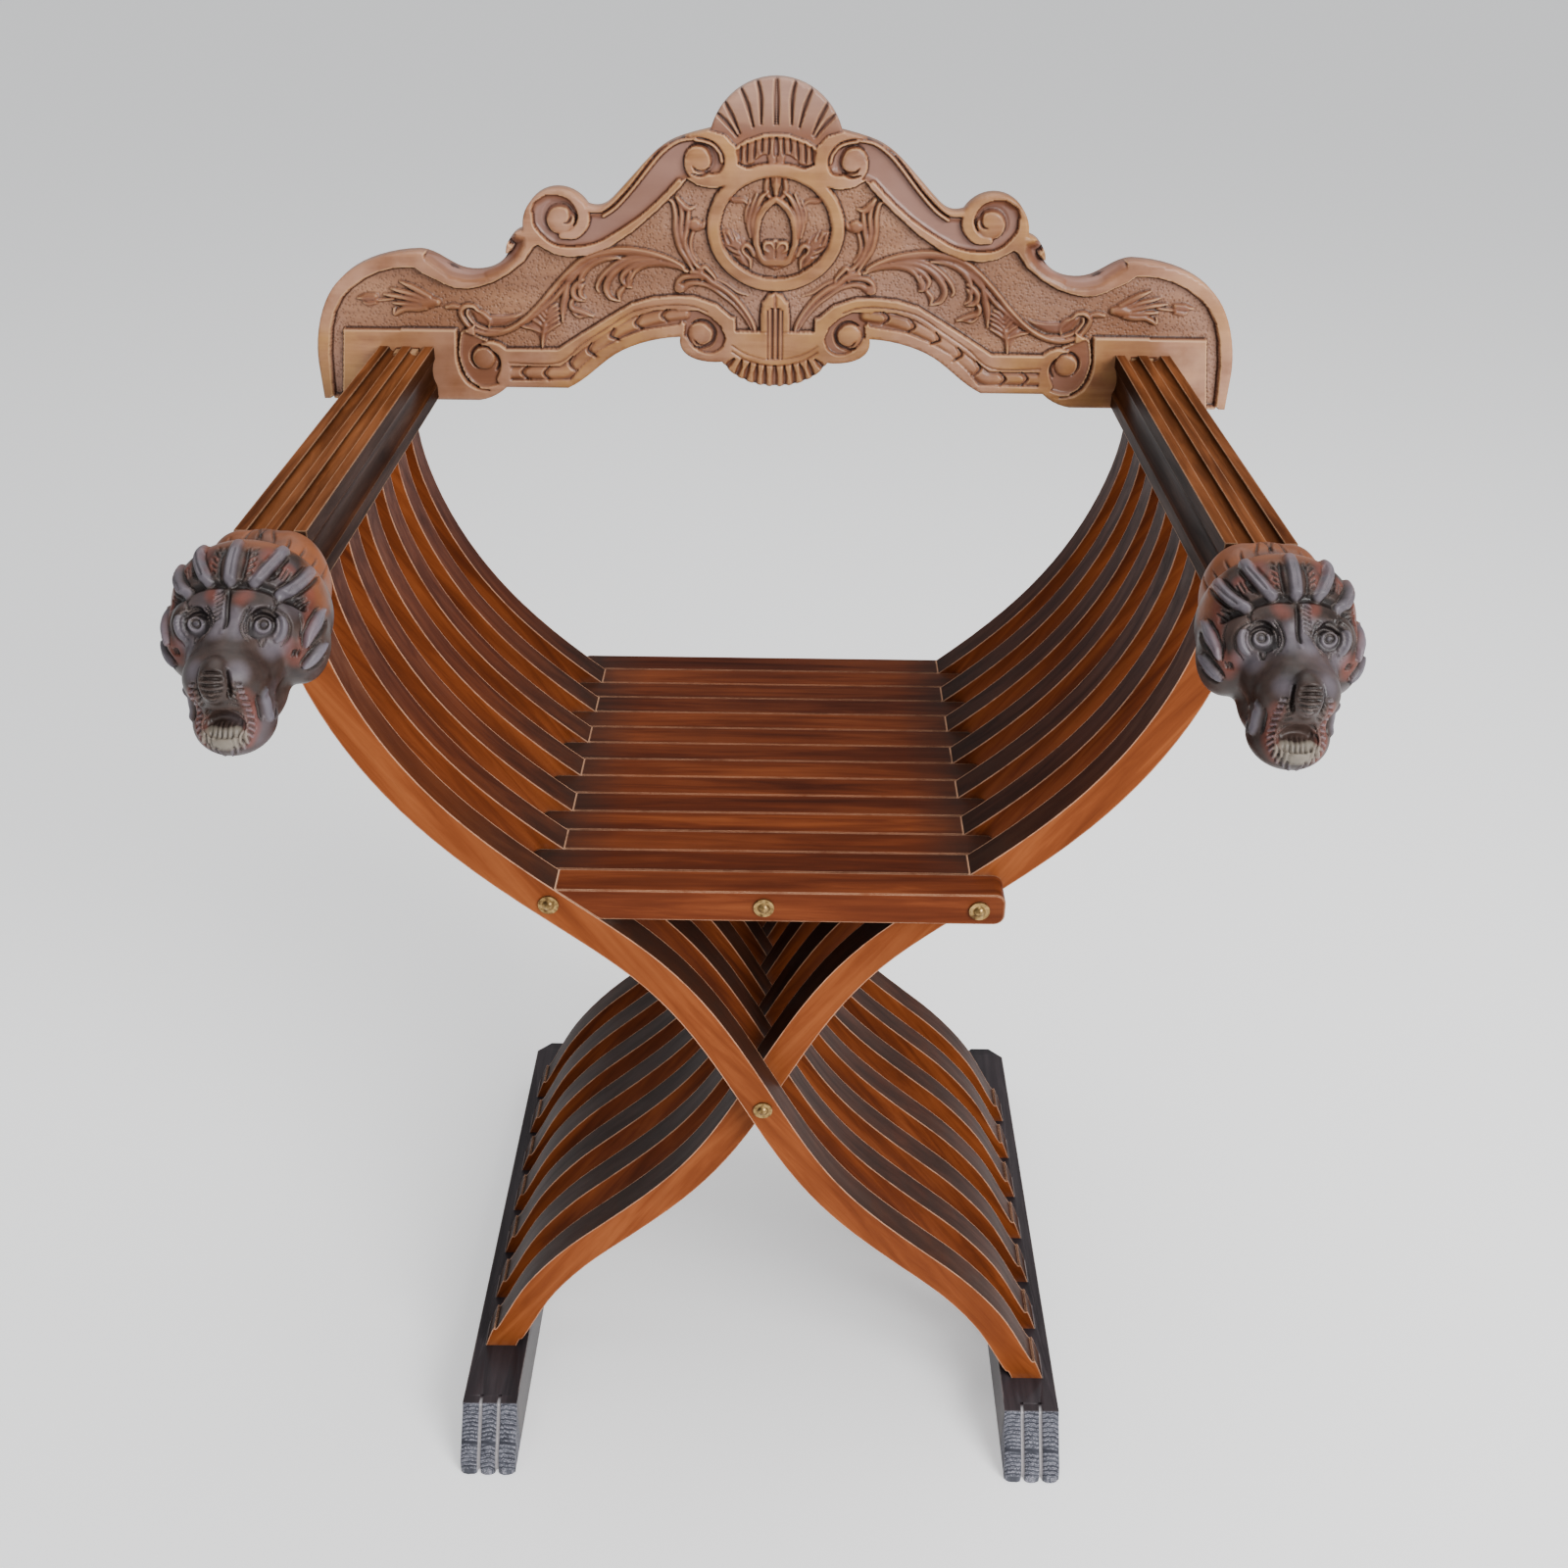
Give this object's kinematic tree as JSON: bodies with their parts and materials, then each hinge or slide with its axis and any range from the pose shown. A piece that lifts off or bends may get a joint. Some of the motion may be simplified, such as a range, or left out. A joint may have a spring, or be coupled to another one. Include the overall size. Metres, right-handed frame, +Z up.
{
  "type": "folding armchair",
  "caption": "Folding Savonarola X-frame armchair: interleaved bowed legs, hinged slatted seat, lion-head arms, runner feet and a lift-off carved back rail.",
  "frame": {"origin": "On the floor, under the middle of the chair's bounding box, with the chair open.", "axes": "+Z up, -Y to the front of the chair, +X to the right as seen from the front."},
  "size_m": [0.677, 0.528, 0.915],
  "materials": {
    "red_brown_wood": "satin",
    "arm_wood": "satin",
    "dark_wood": "satin",
    "rail_wood": "satin",
    "brass": "satin"
  },
  "bodies": {
    "left_frame": {"leg_left_arm_01": "red_brown_wood", "leg_left_arm_03": "red_brown_wood", "leg_left_arm_05": "red_brown_wood", "leg_left_arm_07": "red_brown_wood", "leg_left_arm_09": "red_brown_wood", "leg_left_arm_11": "red_brown_wood", "leg_left_arm_13": "red_brown_wood", "left_arm": "arm_wood", "left_lion_head": "dark_wood", "left_head_dowel": "arm_wood", "right_foot": "dark_wood", "pivot_rod": "brass", "pivot_washers": "brass", "left_seat_rod": "brass", "left_seat_washers": "brass", "left_back_key": "arm_wood"},
    "right_frame": {"leg_right_arm_02": "red_brown_wood", "leg_right_arm_04": "red_brown_wood", "leg_right_arm_06": "red_brown_wood", "leg_right_arm_08": "red_brown_wood", "leg_right_arm_10": "red_brown_wood", "leg_right_arm_12": "red_brown_wood", "leg_right_arm_14": "red_brown_wood", "right_arm": "arm_wood", "right_lion_head": "dark_wood", "right_head_dowel": "arm_wood", "left_foot": "dark_wood", "right_seat_rod": "brass", "right_seat_washers": "brass"},
    "right_hinged_slats": {"seat_slat_right_hinged_01": "red_brown_wood", "seat_slat_right_hinged_03": "red_brown_wood", "seat_slat_right_hinged_05": "red_brown_wood", "seat_slat_right_hinged_07": "red_brown_wood", "seat_slat_right_hinged_09": "red_brown_wood", "seat_slat_right_hinged_11": "red_brown_wood", "seat_slat_right_hinged_13": "red_brown_wood", "centre_seat_pins": "brass", "centre_seat_front_washer": "brass"},
    "left_hinged_slats": {"seat_slat_left_hinged_02": "red_brown_wood", "seat_slat_left_hinged_04": "red_brown_wood", "seat_slat_left_hinged_06": "red_brown_wood", "seat_slat_left_hinged_08": "red_brown_wood", "seat_slat_left_hinged_10": "red_brown_wood", "seat_slat_left_hinged_12": "red_brown_wood", "seat_slat_left_hinged_14": "red_brown_wood", "centre_seat_rear_pin": "brass", "centre_seat_rear_washer": "brass"},
    "back": {"back_rail": "rail_wood", "right_back_key": "arm_wood"}
  },
  "joints": [
    {"name": "fold", "type": "hinge", "parent": "left_frame", "child": "right_frame", "pos_m": [0, 0, 0.3076], "axis": [0, -1, 0], "range_deg": [0, 50]},
    {"name": "seat_left_hinge", "type": "hinge", "parent": "left_frame", "child": "left_hinged_slats", "pos_m": [-0.136, 0, 0.475], "axis": [0, -1, 0], "range_deg": [0, 92.3]},
    {"name": "seat_right_hinge", "type": "hinge", "parent": "right_frame", "child": "right_hinged_slats", "pos_m": [0.136, 0, 0.475], "axis": [0, 1, 0], "range_deg": [0, 92.3]},
    {"name": "back_lift", "type": "slide", "parent": "left_frame", "child": "back", "axis": [0, 0, 1], "range_m": [0, 0.06]}
  ],
  "couplings": [
    {"joint": "seat_left_hinge", "follows": "fold", "ratio": 1.8457},
    {"joint": "seat_right_hinge", "follows": "fold", "ratio": 1.8457}
  ]
}
